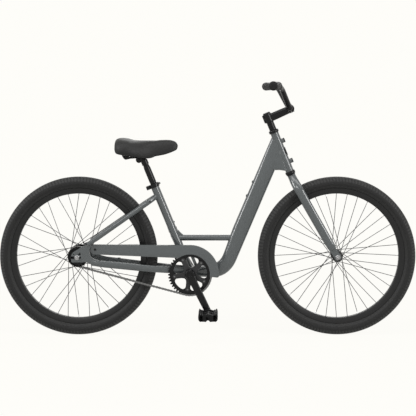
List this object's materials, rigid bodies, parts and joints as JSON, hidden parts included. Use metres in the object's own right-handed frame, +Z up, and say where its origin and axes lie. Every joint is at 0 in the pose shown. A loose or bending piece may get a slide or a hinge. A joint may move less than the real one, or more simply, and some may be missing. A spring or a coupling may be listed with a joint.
{
  "type": "step-through bicycle",
  "caption": "Step-through bicycle with a low thick down tube, riser handlebar, wide saddle, chain guard and coaster brake hub, on large spoked wheels.",
  "frame": {"origin": "on the ground, midway between the front and rear ends of the tyres, in the bicycle's centre plane", "axes": "+X forwards, +Y to the rider's left, +Z up; the chain side faces -Y"},
  "size_m": [1.757, 0.6398, 1.0676],
  "materials": {
    "frame_paint": "satin slate grey paint",
    "guard_paint": "satin slate grey paint on sheet",
    "black_parts": "gloss black",
    "rim_black": "black anodised",
    "bright_steel": "bright",
    "chain_steel": "oiled",
    "dark_steel": "dark",
    "tyre": "matte",
    "grip_rubber": "matte",
    "black_plastic": "matte",
    "saddle_vinyl": "soft vinyl"
  },
  "bodies": {
    "frame": {"head_tube": "frame_paint", "down_tube": "frame_paint", "seat_tube": "frame_paint", "cross_tube": "frame_paint", "bottom_bracket_shell": "frame_paint", "chain_stay_right": "frame_paint", "chain_stay_left": "frame_paint", "seat_stay_right": "frame_paint", "seat_stay_left": "frame_paint", "dropout_right": "frame_paint", "dropout_left": "frame_paint", "bottom_bracket_cup_right": "dark_steel", "bottom_bracket_cup_left": "dark_steel", "seat_stay_bridge": "frame_paint", "headset_cup_upper": "black_parts", "headset_cup_lower": "black_parts", "head_badge": "black_plastic", "seat_clamp_collar": "black_parts", "chain_guard": "guard_paint", "chain_guard_bracket": "dark_steel", "chain": "chain_steel", "rear_axle": "bright_steel", "rear_axle_nut_right": "bright_steel", "rear_axle_nut_left": "bright_steel", "coaster_brake_arm": "bright_steel"},
    "steering": {"fork_steerer": "dark_steel", "fork_blade_right": "frame_paint", "fork_blade_left": "frame_paint", "headset_spacers": "black_parts", "stem_top_cap": "black_parts", "stem": "black_parts", "stem_face_plate": "black_parts", "handlebar": "black_parts", "grip_right": "grip_rubber", "grip_left": "grip_rubber", "front_axle": "bright_steel", "front_axle_nut_right": "bright_steel", "front_axle_nut_left": "bright_steel"},
    "front_wheel": {"front_tyre": "tyre", "front_rim": "rim_black", "front_hub_and_spokes": "bright_steel"},
    "rear_wheel": {"rear_tyre": "tyre", "rear_rim": "rim_black", "rear_hub_and_spokes": "bright_steel"},
    "driver": {"rear_cog": "dark_steel"},
    "crank": {"crank_axle": "dark_steel", "crank_arm_right": "black_parts", "chainring": "black_parts", "crank_arm_left": "black_parts", "pedal_axle_right": "dark_steel", "pedal_axle_left": "dark_steel"},
    "right_pedal": {"pedal_right": "black_plastic"},
    "left_pedal": {"pedal_left": "black_plastic"},
    "seat": {"seat_post": "black_parts", "saddle_clamp": "dark_steel", "saddle_rails": "dark_steel", "saddle_base": "black_plastic", "saddle_cushion": "saddle_vinyl"},
    "quick_release": {"quick_release_lever": "black_parts"}
  },
  "joints": [
    {"name": "steer", "type": "hinge", "parent": "frame", "child": "steering", "pos_m": [0.49864, 0, 0.31477], "axis": [-0.3746, 0, 0.9272], "range_deg": [-90, 90]},
    {"name": "front_wheel_spin", "type": "hinge", "parent": "steering", "child": "front_wheel", "pos_m": [0.545, 0, 0.3335], "axis": [0, 1, 0], "continuous": true},
    {"name": "rear_wheel_spin", "type": "hinge", "parent": "frame", "child": "rear_wheel", "pos_m": [-0.545, 0, 0.3335], "axis": [0, 1, 0], "continuous": true},
    {"name": "crank_spin", "type": "hinge", "parent": "frame", "child": "crank", "pos_m": [-0.0734, 0, 0.2629], "axis": [0, 1, 0], "continuous": true},
    {"name": "cog_spin", "type": "hinge", "parent": "frame", "child": "driver", "pos_m": [-0.545, 0, 0.3335], "axis": [0, 1, 0], "continuous": true},
    {"name": "pedal_right_spin", "type": "hinge", "parent": "crank", "child": "right_pedal", "pos_m": [0.00325, -0.1405, 0.11116], "axis": [0, 1, 0], "continuous": true},
    {"name": "pedal_left_spin", "type": "hinge", "parent": "crank", "child": "left_pedal", "pos_m": [-0.15005, 0.1405, 0.41464], "axis": [0, 1, 0], "continuous": true},
    {"name": "seatpost_slide", "type": "slide", "parent": "frame", "child": "seat", "axis": [-0.3843, 0, 0.9232], "range_m": [-0.08, 0.08]},
    {"name": "quick_release", "type": "hinge", "parent": "frame", "child": "quick_release", "pos_m": [-0.24594, 0.0183, 0.60395], "axis": [-0.3843, 0, 0.9232], "range_deg": [0, 170]}
  ],
  "couplings": [
    {"joint": "cog_spin", "follows": "crank_spin", "ratio": 2.4444}
  ]
}
